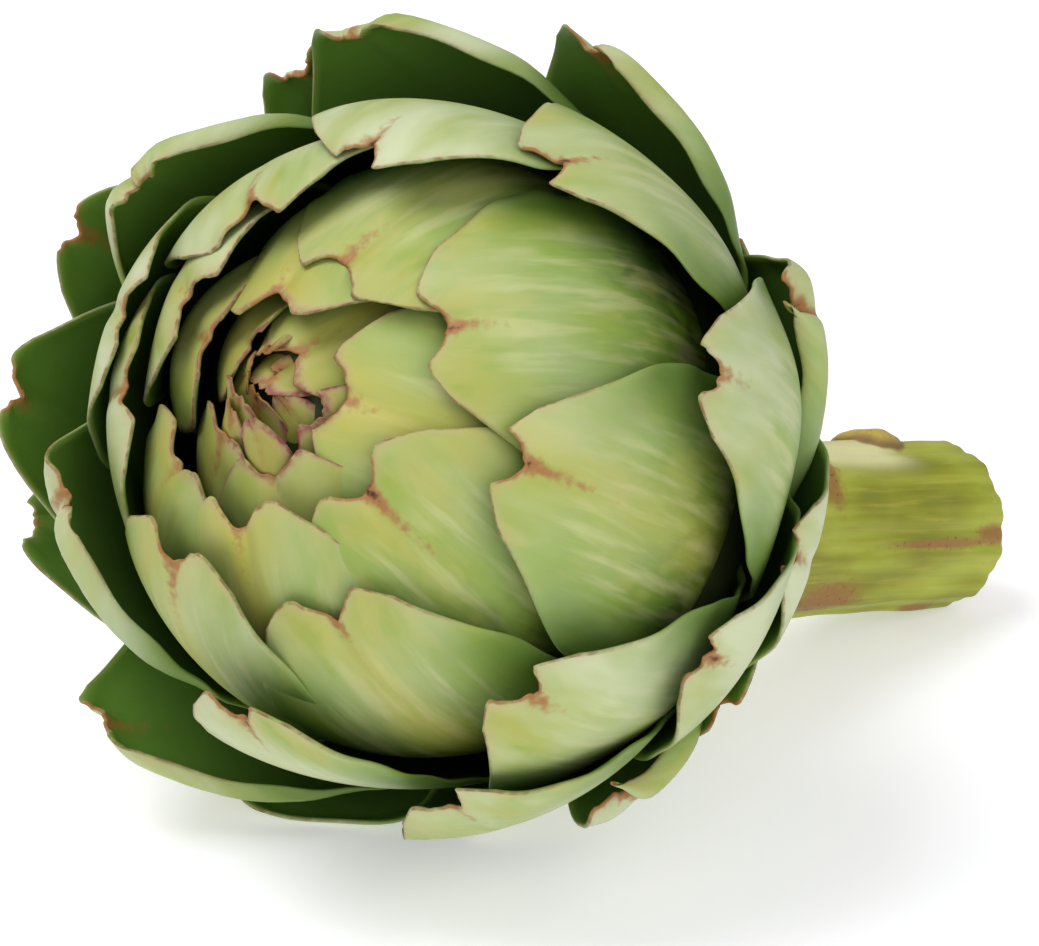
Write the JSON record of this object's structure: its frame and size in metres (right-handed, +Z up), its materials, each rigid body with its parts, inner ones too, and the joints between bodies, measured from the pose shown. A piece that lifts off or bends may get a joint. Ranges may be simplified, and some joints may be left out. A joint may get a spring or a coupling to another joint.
{
  "type": "globe artichoke",
  "caption": "Green globe artichoke as picked, lying on its side: a round head of overlapping notched bracts on a short ribbed cut stem.",
  "frame": {"origin": "middle of the bounding box in plan, on the surface that the artichoke lies on", "axes": "+Z up; +Y along the artichoke towards the cut end of the stem; the head's tip points to -Y and up"},
  "size_m": [0.1332, 0.1844, 0.1278],
  "materials": {
    "bract": "waxy leaf skin with a pale bloom, thin brown rims",
    "stem": "ribbed green stalk skin with brown scars, fibrous cut end"
  },
  "bodies": {
    "root": {"bract_head": "bract", "stem": "stem"}
  },
  "joints": []
}
